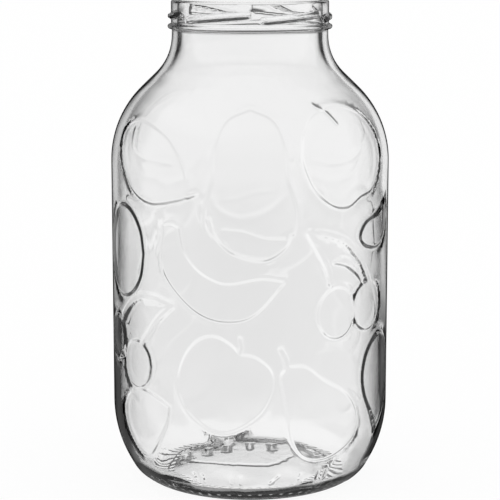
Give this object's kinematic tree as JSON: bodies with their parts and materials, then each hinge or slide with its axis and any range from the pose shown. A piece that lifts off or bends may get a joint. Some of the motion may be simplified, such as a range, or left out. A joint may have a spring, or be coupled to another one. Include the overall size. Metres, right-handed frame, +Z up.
{
  "type": "glass preserving jar",
  "caption": "Tall clear glass jar, open at the top, with a rounded heel, sloping shoulder, short neck, lugged screw finish and embossed fruit.",
  "frame": {"origin": "centre of the bearing ring, on the plane the jar stands on", "axes": "+Z up along the jar's axis, -Y towards the side shown as the front, +X to that side's right"},
  "size_m": [0.17, 0.172, 0.2965],
  "materials": {
    "glass": "clear soda-lime glass, fire-polished"
  },
  "bodies": {
    "root": {"jar": "glass"}
  },
  "joints": []
}
